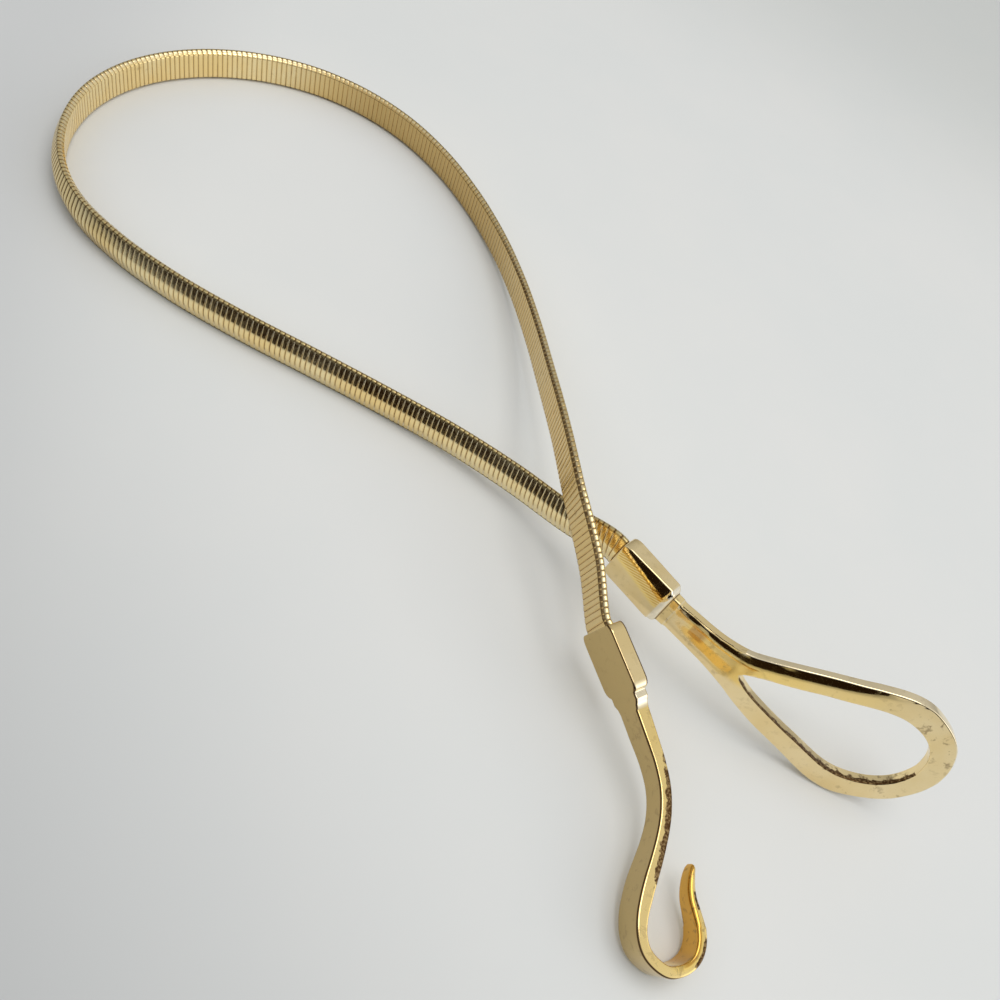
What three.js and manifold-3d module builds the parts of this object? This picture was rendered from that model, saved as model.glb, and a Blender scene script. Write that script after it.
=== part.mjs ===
// Stretch belt: a wound metal band, flat inside and domed outside, between a hook clasp
// and a long eye clasp. It lies unfastened on its narrow edge, in an open teardrop whose
// hook strand passes over the eye strand. Millimetres, +Z up, table at z = 0.
import * as THREE from 'three';
import { mergeVertices } from 'three/addons/utils/BufferGeometryUtils.js';
import Module from 'manifold-3d';

const wasm = await Module();
wasm.setup();

// ---- driving dimensions -------------------------------------------------------------
const BAND_STEPS = 84;         // stations along the band
const HOLLOW_N = 0.46;         // hollow core, as a share of the thickness
const HOLLOW_B = 0.82;         // hollow core, as a share of the height
const BAND_ENTRY = 5;          // length of band inside each ferrule

const FERRULE_HEIGHT = 14;
const HOOK_FERRULE = { from: 0, to: 18.3, thick: 5.1, collar: 4.2 };
const LOOP_FERRULE = { from: -0.8, to: 19.2, thick: 6.1, collar: 4.2 };
const FERRULE_BEVEL = 0.8;
const SOCKET_DEPTH = 6;
const SOCKET_HEIGHT = 11.7;
const SOCKET_THICK = 4.4;
const COLLAR_LENGTH = 2.8;
const COLLAR_HEIGHT = 11.6;

const HOOK_HEADING = -35.2;   // degrees from +X, seen from above
const HOOK_SLOPE = -10.06;      // degrees, down towards the bend that rests on the table
const HOOK_LEAN = 3;           // degrees, ferrule only
const HOOK_MOUTH = [42.18, 134.22, 18.6];

const LOOP_HEADING = -21.5;
const LOOP_SLOPE = 2.6;
const LOOP_LEAN = 6;           // degrees, top of the ferrule away from the front
const LOOP_MOUTH = [37.8, 158.3, 19.3];
const EYE_THICK = 3.4;
const EYE_BEVEL = 0.5;

const CENTRE_X = -22.70;       // middle of the footprint, in the frame of the tables below
const CENTRE_Y = 178.49;

// ---- tables -------------------------------------------------------------------------
// Centreline of the band from the loop ferrule to the hook ferrule.
// columns: x, y, z of the strip's middle, lean in degrees (top towards the flat inner face)
const BAND_ROUTE = [
  [20.4, 163.7, 13.4, 9.6],
  [-0.7, 168.3, 9.2, 11.5],
  [-22.8, 169.9, 6.9, 11.0],
  [-45.8, 168.8, 5.75, 10.3],
  [-70.4, 166.0, 5.62, 10.0],
  [-95.3, 162.8, 5.62, 9.6],
  [-118.5, 161.2, 5.6, 8.6],
  [-140.2, 162.4, 5.58, 6.5],
  [-158.0, 167.0, 5.54, 4.0],
  [-171.6, 176.2, 5.5, 2.0],
  [-182.2, 190.2, 5.5, 1.0],
  [-188.1, 206.9, 5.5, 0],
  [-188.6, 224.6, 5.5, 0],
  [-183.9, 242.4, 5.5, 0],
  [-174.0, 259.3, 5.5, 0],
  [-160.4, 272.9, 5.5, 0],
  [-144.1, 282.3, 5.5, 0],
  [-126.0, 286.9, 5.5, 0],
  [-107.2, 286.7, 5.5, 0],
  [-87.5, 281.3, 5.5, 0],
  [-68.9, 271.9, 5.55, 0],
  [-51.8, 259.3, 6.3, 0],
  [-36.2, 243.6, 8.2, 0],
  [-21.9, 225.6, 11.2, 0],
  [-8.3, 205.5, 15.4, 0],
  [4.6, 184.5, 20.9, 0],
  [17.1, 164.4, 24.4, -2],
  [31.7, 147.9, 21.6, -5],
];

// Section of the band. columns: n (towards the flat inner face), b (up the strip)
const BAND_SECTION = [
  [1.85, -4.6], [1.85, 4.6], [0.95, 5.4], [-0.15, 5.5], [-0.6, 4.65], [-1.3, 2.9], [-1.8, 1.4],
  [-1.95, 0], [-1.8, -1.4], [-1.3, -2.9], [-0.6, -4.65], [-0.15, -5.5], [0.95, -5.4],
];

// Hook strip in the casting's own plane.
// columns: a (along the ferrule), b (across), thickness, half height
const HOOK_STRIP = [
  [15, 1.9, 4.2, 4.4],
  [22, 1.85, 4.2, 4.3],
  [30, 1.3, 3.9, 4.2],
  [37, 0.75, 3.6, 3.95],
  [43, -0.5, 3.5, 3.75],
  [47.5, -2.5, 3.5, 3.65],
  [51.2, -5.05, 3.5, 3.7],
  [54.8, -8.45, 3.55, 3.95],
  [58, -12, 3.7, 4.3],
  [61, -15.5, 3.8, 4.55],
  [63.9, -18.5, 3.7, 4.6],
  [67.1, -21.35, 3.3, 4.6],
  [70.8, -23.3, 3, 4.5],
  [74.5, -23.7, 2.9, 4.4],
  [78, -22.4, 2.9, 4.4],
  [80.9, -20, 2.8, 4.3],
  [82.2, -16.8, 2.7, 4.2],
  [82.5, -13.6, 2.6, 4],
  [81.8, -10.7, 2.6, 3.8],
  [79.8, -8.2, 2.7, 3.6],
  [76.8, -6.5, 2.7, 3.4],
  [73.6, -5.7, 2.6, 3.1],
  [70.5, -5.1, 2.4, 2.8],
  [68, -4, 2.2, 2.5],
  [65.6, -2.3, 1.9, 2.2],
  [64.2, -0.95, 1.5, 1.8],
  [63.6, -0.4, 0.9, 1.2],
];

// Middle line of the loop casting past its ferrule. columns: x, y, z, lean in degrees
const LOOP_LINE = [
  [63.6, 149.0, 20.8, 12.5],
  [72.4, 146.8, 21.25, 13.5],
  [81.6, 145.2, 21.65, 14.5],
  [92, 145.2, 21.8, 15],
  [104, 146.4, 21.8, 15],
  [125, 148.8, 21.65, 15],
  [147, 151.3, 21.6, 15],
];

// Outline of the shank and eye, above its middle line. columns: s (from the mouth), half height
const EYE_OUTER = [
  [16.5, 5.0], [24, 5.0], [32, 5.2], [38, 5.8], [44.5, 7.3], [49, 9.2], [56, 12.1],
  [61, 14.0], [66.8, 16.0], [72, 17.8], [77, 19.7], [83, 21.5], [87.6, 22.1],
  [91.5, 21.7], [95.6, 20.2], [99.8, 18.0], [102.5, 16.1], [105.2, 13.4], [107.3, 10.0],
  [109, 6.0], [109.8, 2.2],
];
const EYE_HOLE = [
  [46.6, 0.9], [48.2, 2.0], [52, 3.9], [58, 6.1], [66, 9.0], [72, 10.9], [77, 12.6],
  [82.5, 14.2], [87.5, 14.7], [92, 13.9], [95.5, 12.5], [98.2, 10.7], [100.4, 8.4],
  [102.1, 5.3], [103, 1.9],
];

// ---- helpers ------------------------------------------------------------------------
const rad = THREE.MathUtils.degToRad;
const UP = new THREE.Vector3(0, 0, 1);

// Right-handed frame of a straight casting: x along it, y to its left, z up the strip.
function castingFrame(mouth, heading, slope, lean) {
  const h = rad(heading), e = rad(slope);
  const along = new THREE.Vector3(
    Math.cos(h) * Math.cos(e), Math.sin(h) * Math.cos(e), Math.sin(e));
  return leanFrame(new THREE.Vector3(...mouth), along, lean);
}

function leanFrame(point, along, lean) {
  const left = new THREE.Vector3().crossVectors(UP, along).normalize();
  const up = new THREE.Vector3().crossVectors(along, left).normalize();
  const l = rad(lean);
  const side = left.clone().multiplyScalar(Math.cos(l)).addScaledVector(up, -Math.sin(l));
  const rise = up.clone().multiplyScalar(Math.cos(l)).addScaledVector(left, Math.sin(l));
  return { point, along: along.clone(), side, rise };
}

function frameMatrix(f) {
  return new THREE.Matrix4().makeBasis(f.along, f.side, f.rise).setPosition(f.point);
}

// Closed skin through equal rings. With a second set of rings inside, the ends stay open
// as annular faces; without it they are capped.
function sweepSkin(rings, innerRings) {
  const positions = [], index = [];
  const n = rings[0].length, m = rings.length;
  for (const ring of rings) for (const p of ring) positions.push(p.x, p.y, p.z);
  const base = positions.length / 3;
  if (innerRings) for (const ring of innerRings) for (const p of ring) positions.push(p.x, p.y, p.z);
  const wall = (offset, flip) => {
    for (let i = 0; i < m - 1; i++) for (let j = 0; j < n; j++) {
      const k = (j + 1) % n;
      const a = offset + i * n + j, b = offset + i * n + k;
      const c = offset + (i + 1) * n + k, d = offset + (i + 1) * n + j;
      if (flip) index.push(a, c, b, a, d, c); else index.push(a, b, c, a, c, d);
    }
  };
  wall(0, false);
  if (innerRings) {
    wall(base, true);
    for (const [i, flip] of [[0, true], [m - 1, false]]) for (let j = 0; j < n; j++) {
      const k = (j + 1) % n;
      const a = i * n + j, b = i * n + k, c = base + i * n + k, d = base + i * n + j;
      if (flip) index.push(a, c, b, a, d, c); else index.push(a, b, c, a, c, d);
    }
  } else {
    for (const [i, flip] of [[0, true], [m - 1, false]]) for (let j = 1; j < n - 1; j++) {
      const a = i * n, b = i * n + j, c = i * n + j + 1;
      if (flip) index.push(a, c, b); else index.push(a, b, c);
    }
  }
  const g = new THREE.BufferGeometry();
  g.setAttribute('position', new THREE.Float32BufferAttribute(positions, 3));
  g.setIndex(index);
  return g;
}

function toSolid(geometry) {
  const g = geometry.clone();
  g.deleteAttribute('normal');
  g.deleteAttribute('uv');
  const merged = mergeVertices(g, 1e-4);
  return new wasm.Manifold(new wasm.Mesh({
    numProp: 3,
    vertProperties: new Float32Array(merged.attributes.position.array),
    triVerts: new Uint32Array(merged.index.array),
  }));
}

function toGeometry(solid) {
  const mesh = solid.getMesh();
  const g = new THREE.BufferGeometry();
  g.setAttribute('position', new THREE.Float32BufferAttribute(mesh.vertProperties, 3));
  g.setIndex(Array.from(mesh.triVerts));
  g.computeVertexNormals();
  return g;
}

// Bar along +X with chamfered long edges and ends: length x thickness (y) x height (z).
function chamferedBar(x0, x1, thick, height, bevel, yMid) {
  const s = new THREE.Shape();
  const t = thick / 2, h = height / 2;
  s.moveTo(-t, -h); s.lineTo(t, -h); s.lineTo(t, h); s.lineTo(-t, h); s.closePath();
  const g = new THREE.ExtrudeGeometry(s, {
    depth: x1 - x0 - 2 * bevel, steps: 1, bevelEnabled: bevel > 0,
    bevelThickness: bevel, bevelSize: bevel, bevelOffset: -bevel, bevelSegments: 1,
  });
  g.translate(0, 0, bevel);
  // section (x, y) and depth z of the extrusion become y, z and x
  g.applyMatrix4(new THREE.Matrix4().makeBasis(
    new THREE.Vector3(0, 1, 0), new THREE.Vector3(0, 0, 1), new THREE.Vector3(1, 0, 0)));
  g.translate(x0, yMid, 0);
  return g;
}

// Ferrule with its socket, and the short collar at its closed end.
function ferrule(frame, { from, to, thick, collar: collarThick }, collarShift) {
  const body = toSolid(chamferedBar(from, to, thick, FERRULE_HEIGHT, FERRULE_BEVEL, 0));
  const collar = toSolid(chamferedBar(
    to - 2, to + COLLAR_LENGTH, collarThick, COLLAR_HEIGHT, 0.5, collarShift));
  const socket = toSolid(chamferedBar(from - 3, SOCKET_DEPTH, SOCKET_THICK, SOCKET_HEIGHT, 0, 0));
  const m = frameMatrix(frame).elements;
  const place = Array.from(m);
  return { outer: body.add(collar).transform(place), socket: socket.transform(place) };
}

// ---- band ---------------------------------------------------------------------------
const hookFrame = castingFrame(HOOK_MOUTH, HOOK_HEADING, HOOK_SLOPE, 0);
const hookFerruleFrame = castingFrame(HOOK_MOUTH, HOOK_HEADING, HOOK_SLOPE, HOOK_LEAN);
const loopFrame = castingFrame(LOOP_MOUTH, LOOP_HEADING, LOOP_SLOPE, LOOP_LEAN);

function bandGeometry() {
  const on = (f, d) => f.point.clone().addScaledVector(f.along, d);
  const stops = [
    [on(loopFrame, BAND_ENTRY), LOOP_LEAN], [on(loopFrame, 0.6), LOOP_LEAN], [on(loopFrame, -4), LOOP_LEAN],
    ...BAND_ROUTE.map(([x, y, z, lean]) => [new THREE.Vector3(x, y, z), lean]),
    [on(hookFrame, -1.4), -HOOK_LEAN], [on(hookFrame, 0.9), -HOOK_LEAN], [on(hookFrame, BAND_ENTRY), -HOOK_LEAN],
  ];
  const route = new THREE.CatmullRomCurve3(stops.map((r) => r[0]), false, 'centripetal');
  route.arcLengthDivisions = 2000;
  const outer = [], inner = [];
  for (let i = 0; i <= BAND_STEPS; i++) {
    const t = i / BAND_STEPS;
    const p = route.getPointAt(t), d = route.getTangentAt(t);
    if (i === 0) d.copy(loopFrame.along).negate();
    if (i === BAND_STEPS) d.copy(hookFrame.along);
    const k = route.getUtoTmapping(t) * (stops.length - 1);
    const r = Math.min(Math.floor(k), stops.length - 2);
    const lean = stops[r][1] * (1 - (k - r)) + stops[r + 1][1] * (k - r);
    const f = leanFrame(p, d, -lean);
    const ring = (kn, kb) => BAND_SECTION.map(([n, b]) => f.point.clone()
      .addScaledVector(f.side, -n * kn).addScaledVector(f.rise, b * kb)).reverse();
    outer.push(ring(1, 1));
    inner.push(ring(HOLLOW_N, HOLLOW_B));
  }
  const g = sweepSkin(outer, inner);
  g.computeVertexNormals();
  return g;
}

// ---- hook clasp ---------------------------------------------------------------------
function hookGeometry() {
  const line = new THREE.CatmullRomCurve3(
    HOOK_STRIP.map(([a, b]) => new THREE.Vector3(a, b - 2.35, 0)), false, 'centripetal');
  const rings = [];
  const steps = (HOOK_STRIP.length - 1) * 2;
  for (let i = 0; i <= steps; i++) {
    const u = i / steps;
    const p = line.getPoint(u), d = line.getTangent(u);
    const side = new THREE.Vector3(-d.y, d.x, 0).normalize();
    const r = Math.min(Math.floor(u * (HOOK_STRIP.length - 1)), HOOK_STRIP.length - 2);
    const k = u * (HOOK_STRIP.length - 1) - r;
    const mix = (c) => HOOK_STRIP[r][c] * (1 - k) + HOOK_STRIP[r + 1][c] * k;
    const t = mix(2) / 2, h = mix(3);
    const c = Math.min(0.55, t * 0.45);
    rings.push([[t, -h + c], [t, h - c], [t - c, h], [-t + c, h], [-t, h - c], [-t, -h + c],
      [-t + c, -h], [t - c, -h]].map(([n, b]) => p.clone().addScaledVector(side, n).setZ(b)));
  }
  const strip = toSolid(sweepSkin(rings)).transform(Array.from(frameMatrix(hookFrame).elements));
  const f = ferrule(hookFerruleFrame, HOOK_FERRULE, -0.3);
  return toGeometry(f.outer.add(strip).subtract(f.socket));
}

// ---- loop clasp ---------------------------------------------------------------------
function loopGeometry() {
  const on = (d) => loopFrame.point.clone().addScaledVector(loopFrame.along, d);
  const rows = [[on(0), LOOP_LEAN], [on(9), LOOP_LEAN], [on(18), LOOP_LEAN],
    ...LOOP_LINE.map(([x, y, z, lean]) => [new THREE.Vector3(x, y, z), lean])];
  const line = new THREE.CatmullRomCurve3(rows.map((r) => r[0]), false, 'centripetal');
  line.arcLengthDivisions = 1200;
  const total = line.getLength();
  const frameAt = (s) => {
    if (s < 18) return { ...loopFrame, point: on(s) };
    const u = Math.min(s / total, 1);
    const k = line.getUtoTmapping(u) * (rows.length - 1);
    const r = Math.min(Math.floor(k), rows.length - 2);
    const lean = rows[r][1] * (1 - (k - r)) + rows[r + 1][1] * (k - r);
    return leanFrame(line.getPointAt(u), line.getTangentAt(u), lean);
  };
  // a plate with a chamfered section that follows the outline, bent along the middle line
  const plate = (table, count, thick, chamfer) => sweepSkin(
    new THREE.CatmullRomCurve3(table.map(([s, h]) => new THREE.Vector3(s, h, 0)), false, 'centripetal')
      .getPoints(count).map(({ x: s, y: h }) => {
        const f = frameAt(s), t = thick / 2, c = Math.min(chamfer, h * 0.4);
        return [[t, -h + c], [t, h - c], [t - c, h], [-t + c, h], [-t, h - c], [-t, -h + c],
          [-t + c, -h], [t - c, -h]].map(([n, b]) => f.point.clone()
          .addScaledVector(f.side, n).addScaledVector(f.rise, b));
      }));
  const eye = toSolid(plate(EYE_OUTER, 50, EYE_THICK, EYE_BEVEL));
  const hole = toSolid(plate(EYE_HOLE, 34, EYE_THICK * 2.5, 0.05));
  const f = ferrule(loopFrame, LOOP_FERRULE, 0);
  return toGeometry(f.outer.add(eye.subtract(hole)).subtract(f.socket));
}

// ---- assembly -----------------------------------------------------------------------
const gold = (colour, roughness) => new THREE.MeshStandardMaterial(
  { color: colour, roughness, metalness: 1 });

const belt = new THREE.Group();
function piece(name, geometry, material) {
  const mesh = new THREE.Mesh(geometry, material);
  mesh.name = name;
  belt.add(mesh);
  return mesh;
}
piece('stretch_band', bandGeometry(), gold(0xc8ac72, 0.3));
piece('hook_clasp', hookGeometry(), gold(0xd0b27a, 0.22));
piece('loop_clasp', loopGeometry(), gold(0xd0b27a, 0.22));
belt.position.set(-CENTRE_X, -CENTRE_Y, 0);

export default belt;
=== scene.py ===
import math
import bpy
import bmesh
import numpy as np
from mathutils import Matrix, Vector


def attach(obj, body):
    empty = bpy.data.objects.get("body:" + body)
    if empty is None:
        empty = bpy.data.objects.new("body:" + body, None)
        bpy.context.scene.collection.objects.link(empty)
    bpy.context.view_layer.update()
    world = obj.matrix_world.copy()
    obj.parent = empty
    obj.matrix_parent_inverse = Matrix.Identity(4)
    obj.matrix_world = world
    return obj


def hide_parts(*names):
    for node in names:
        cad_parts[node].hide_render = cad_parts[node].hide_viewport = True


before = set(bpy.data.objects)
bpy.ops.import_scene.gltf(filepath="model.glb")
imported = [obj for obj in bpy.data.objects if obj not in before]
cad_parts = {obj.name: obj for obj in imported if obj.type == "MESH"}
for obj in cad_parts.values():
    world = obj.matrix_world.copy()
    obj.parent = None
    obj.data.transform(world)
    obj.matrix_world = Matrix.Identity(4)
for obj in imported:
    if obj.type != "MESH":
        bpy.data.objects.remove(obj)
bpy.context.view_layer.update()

MM = 0.001
CENTRE = np.array([-22.70, 178.49, 0.0])      # the tables' frame to the part's frame

# ---------------------------------------------------------------- camera
LENS = 32.124
TILT = math.radians(36.913)
ROLL = math.radians(-33.153)
EYE = Vector((0.02270, -0.17849, 0.220667))


def make_camera():
    look = Vector((0, math.sin(TILT), -math.cos(TILT)))
    x0 = Vector((1, 0, 0))
    y0 = look.cross(x0)
    right = x0 * math.cos(ROLL) + y0 * math.sin(ROLL)
    down = -x0 * math.sin(ROLL) + y0 * math.cos(ROLL)
    data = bpy.data.cameras.new("camera")
    data.sensor_fit = "HORIZONTAL"
    data.sensor_width = 36.0
    data.lens = LENS
    data.clip_start = 0.01
    cam = bpy.data.objects.new("camera", data)
    m = Matrix.Identity(4)
    for i in range(3):
        m[i][0], m[i][1], m[i][2], m[i][3] = right[i], -down[i], -look[i], EYE[i]
    cam.matrix_world = m
    bpy.context.scene.collection.objects.link(cam)
    bpy.context.scene.camera = cam


make_camera()

# ---------------------------------------------------------------- shape tables, mm
BAND_ENTRY = 5.0
TURN_STEPS = 7               # mesh steps to a turn

HOOK_HEADING, HOOK_SLOPE, HOOK_LEAN = -35.2, -10.06, 3.0
HOOK_MOUTH = (42.18, 134.22, 18.6)
LOOP_HEADING, LOOP_SLOPE, LOOP_LEAN = -21.5, 2.6, 6.0
HOOK_THICK, LOOP_THICK = 5.1, 6.1     # ferrules
LOOP_MOUTH = (37.8, 158.3, 19.3)
EYE_THICK = 3.4

# route of the band: x, y, z, lean in degrees
BAND_ROUTE = [
    (20.4, 163.7, 13.4, 9.6), (-0.7, 168.3, 9.2, 11.5), (-22.8, 169.9, 6.9, 11.0),
    (-45.8, 168.8, 5.75, 10.3), (-70.4, 166.0, 5.62, 10.0), (-95.3, 162.8, 5.62, 9.6),
    (-118.5, 161.2, 5.6, 8.6), (-140.2, 162.4, 5.58, 6.5), (-158.0, 167.0, 5.54, 4.0),
    (-171.6, 176.2, 5.5, 2.0), (-182.2, 190.2, 5.5, 1.0), (-188.1, 206.9, 5.5, 0),
    (-188.6, 224.6, 5.5, 0), (-183.9, 242.4, 5.5, 0), (-174.0, 259.3, 5.5, 0),
    (-160.4, 272.9, 5.5, 0), (-144.1, 282.3, 5.5, 0), (-126.0, 286.9, 5.5, 0),
    (-107.2, 286.7, 5.5, 0), (-87.5, 281.3, 5.5, 0), (-68.9, 271.9, 5.55, 0),
    (-51.8, 259.3, 6.3, 0), (-36.2, 243.6, 8.2, 0), (-21.9, 225.6, 11.2, 0),
    (-8.3, 205.5, 15.4, 0), (4.6, 184.5, 20.9, 0), (17.1, 164.4, 24.4, -2),
    (31.7, 147.9, 21.6, -5),
]

# half of the band's wound section, from the middle of the flat inner face over the top edge to
# the middle of the domed outer face: across, up, groove direction across, up, groove depth, kind
# (0 flat face, 1 beaded edge, 2 domed face)
WINDING = [
    (1.87, 0.0, -1, 0, 0.18, 0), (1.87, 1.6, -1, 0, 0.18, 0), (1.87, 3.2, -1, 0, 0.18, 0),
    (1.87, 4.36, -1, 0, 0.18, 0), (1.76, 4.62, -0.9, -0.4, 0.12, 3), (1.28, 4.84, -0.2, -0.3, 0.05, 3),
    (1.08, 5.16, -0.3, -0.9, 0.16, 1), (0.80, 5.42, -0.1, -1, 0.13, 1), (0.30, 5.54, 0, -1, 0.13, 1),
    (-0.14, 5.50, 0.1, -1, 0.13, 1), (-0.38, 5.28, 0.5, -0.8, 0.13, 1), (-0.46, 4.98, 0.6, -0.5, 0.12, 1),
    (-0.62, 4.66, 0.8, -0.5, 0.20, 2), (-0.90, 4.00, 0.85, -0.42, 0.22, 2), (-1.20, 3.20, 0.9, -0.38, 0.23, 2),
    (-1.48, 2.40, 0.92, -0.33, 0.23, 2), (-1.74, 1.62, 0.95, -0.3, 0.23, 2), (-1.91, 1.05, 0.97, -0.15, 0.23, 2),
    (-1.97, 0.55, 1, -0.05, 0.23, 2), (-1.98, 0.0, 1, 0, 0.23, 2),
]
# groove depth over one turn, as a share, for each kind
GROOVE_AT = [-0.5, -0.44, -0.36, -0.21, 0.21, 0.36, 0.44]
GROOVE = {
    0: [1.0, 0.60, 0.24, 0.05, 0.03, 0.17, 0.50],
    1: [1.0, 0.58, 0.22, 0.02, 0.02, 0.22, 0.58],
    2: [1.0, 0.62, 0.13, 0.0, 0.0, 0.13, 0.62],
    3: [1.0, 0.60, 0.10, 0.0, 0.0, 0.10, 0.60],
}
# width of one turn along the band: the winding is drawn out a little over the rise
TURN_WIDTH = [(0, 1.70), (240, 1.70), (330, 1.84), (430, 1.90), (560, 1.90), (595, 1.70), (640, 1.66)]

# hook strip: along, across, thickness, half height
HOOK_STRIP = [
    (15, 1.9, 4.2, 4.4), (22, 1.85, 4.2, 4.3), (30, 1.3, 3.9, 4.2), (37, 0.75, 3.6, 3.95),
    (43, -0.5, 3.5, 3.75), (47.5, -2.5, 3.5, 3.65), (51.2, -5.05, 3.5, 3.7), (54.8, -8.45, 3.55, 3.95),
    (58, -12, 3.7, 4.3), (61, -15.5, 3.8, 4.55), (63.9, -18.5, 3.7, 4.6), (67.1, -21.35, 3.3, 4.6),
    (70.8, -23.3, 3, 4.5), (74.5, -23.7, 2.9, 4.4), (78, -22.4, 2.9, 4.4), (80.9, -20, 2.8, 4.3),
    (82.2, -16.8, 2.7, 4.2), (82.5, -13.6, 2.6, 4), (81.8, -10.7, 2.6, 3.8), (79.8, -8.2, 2.7, 3.6),
    (76.8, -6.5, 2.7, 3.4), (73.6, -5.7, 2.6, 3.1), (70.5, -5.1, 2.4, 2.8), (68, -4, 2.2, 2.5),
    (65.6, -2.3, 1.9, 2.2), (64.2, -0.95, 1.5, 1.8), (63.6, -0.4, 0.9, 1.2),
]

# middle line of the loop casting: x, y, z, lean
LOOP_LINE = [
    (63.6, 149.0, 20.8, 12.5), (72.4, 146.8, 21.25, 13.5), (81.6, 145.2, 21.65, 14.5),
    (92, 145.2, 21.8, 15), (104, 146.4, 21.8, 15), (125, 148.8, 21.65, 15), (147, 151.3, 21.6, 15),
]
# outline of the eye and of its hole: along the middle line, half height
EYE_OUTER = [
    (16.5, 5.0), (24, 5.0), (32, 5.2), (38, 5.8), (44.5, 7.3), (49, 9.2), (56, 12.1), (61, 14.0),
    (66.8, 16.0), (72, 17.8), (77, 19.7), (83, 21.5), (87.6, 22.1), (91.5, 21.7), (95.6, 20.2),
    (99.8, 18.0), (102.5, 16.1), (105.2, 13.4), (107.3, 10.0), (109, 6.0), (109.8, 2.2),
]
EYE_HOLE = [
    (46.6, 0.9), (48.2, 2.0), (52, 3.9), (58, 6.1), (66, 9.0), (72, 10.9), (77, 12.6), (82.5, 14.2),
    (87.5, 14.7), (92, 13.9), (95.5, 12.5), (98.2, 10.7), (100.4, 8.4), (102.1, 5.3), (103, 1.9),
]

# ferrule and collar of both castings: along, back side, front side, half height, edge radius.
# The sides are shares of the half thickness 2.7; the first rows run out of the socket.
FERRULE_ROWS = [
    (5.4, -1.95, 1.95, 5.60, 0.30), (0.9, -2.02, 2.02, 5.68, 0.30), (0.25, -2.10, 2.10, 5.76, 0.32),
    (0.02, -2.24, 2.24, 5.90, 0.36), (0.05, -2.42, 2.42, 6.08, 0.42), (0.28, -2.58, 2.58, 6.34, 0.42),
    (0.75, -2.67, 2.67, 6.64, 0.42), (1.5, -2.70, 2.70, 6.88, 0.40), (2.5, -2.70, 2.70, 7.0, 0.38),
    (6.0, -2.70, 2.70, 7.0, 0.36), (10.0, -2.70, 2.70, 7.0, 0.36), (14.0, -2.70, 2.70, 7.0, 0.36),
    (16.0, -2.70, 2.70, 6.98, 0.40), (16.9, -2.68, 2.68, 6.84, 0.50), (17.6, -2.62, 2.60, 6.56, 0.62),
    (18.1, -2.54, 2.46, 6.18, 0.70), (18.35, -2.47, 2.30, 5.86, 0.70),
]


# ---------------------------------------------------------------- curves
def deepen(y, thick):
    """A side of a ferrule row, for a ferrule of this thickness; the socket keeps its width."""
    k = (thick / 2 - 2.24) / (2.70 - 2.24)
    return y if abs(y) <= 2.24 else math.copysign(2.24 + (abs(y) - 2.24) * k, y)


def unit(v):
    v = np.asarray(v, float)
    return v / np.linalg.norm(v)


def spline(points, per=40):
    """Centripetal Catmull-Rom through the points: dense points and their row parameter."""
    p = np.asarray(points, float)
    p = np.vstack([2 * p[0] - p[1], p, 2 * p[-1] - p[-2]])
    out, par = [], []
    n = len(p) - 3
    for i in range(n):
        a, b, c, d = p[i], p[i + 1], p[i + 2], p[i + 3]
        t0, t1, t2 = (max(np.linalg.norm(v) ** 0.5, 1e-4) for v in (b - a, c - b, d - c))
        m1 = ((b - a) / t0 - (c - a) / (t0 + t1) + (c - b) / t1) * t1
        m2 = ((c - b) / t1 - (d - b) / (t1 + t2) + (d - c) / t2) * t1
        w = np.linspace(0, 1, per, endpoint=False)[:, None] if i < n - 1 else np.linspace(0, 1, per + 1)[:, None]
        out.append(b + m1 * w + (-3 * b + 3 * c - 2 * m1 - m2) * w ** 2 + (2 * b - 2 * c + m1 + m2) * w ** 3)
        par.append(i + w[:, 0])
    return np.vstack(out), np.concatenate(par)


def arc(points):
    return np.concatenate([[0], np.cumsum(np.linalg.norm(np.diff(points, axis=0), axis=1))])


def at(x, xs, values):
    values = np.asarray(values)
    if values.ndim == 1:
        return np.interp(x, xs, values)
    return np.stack([np.interp(x, xs, values[:, k]) for k in range(values.shape[1])], -1)


def lean_frame(along, lean):
    along = along / np.linalg.norm(along, axis=-1, keepdims=True)
    left = np.cross(np.broadcast_to([0.0, 0.0, 1.0], along.shape), along)
    left /= np.linalg.norm(left, axis=-1, keepdims=True)
    up = np.cross(along, left)
    c, s = np.cos(np.radians(lean))[..., None], np.sin(np.radians(lean))[..., None]
    return left * c - up * s, up * c + left * s


def heading(h, e):
    h, e = math.radians(h), math.radians(e)
    return np.array([math.cos(h) * math.cos(e), math.sin(h) * math.cos(e), math.sin(e)])


HOOK_ALONG = heading(HOOK_HEADING, HOOK_SLOPE)
LOOP_ALONG = heading(LOOP_HEADING, LOOP_SLOPE)
HOOK_SIDE, HOOK_RISE = lean_frame(HOOK_ALONG, np.array(0.0))
BOX_SIDE, BOX_RISE = lean_frame(HOOK_ALONG, np.array(HOOK_LEAN))
LOOP_SIDE, LOOP_RISE = lean_frame(LOOP_ALONG, np.array(LOOP_LEAN))


def smooth(x):
    x = np.clip(x, 0, 1)
    return x * x * (3 - 2 * x)


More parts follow.
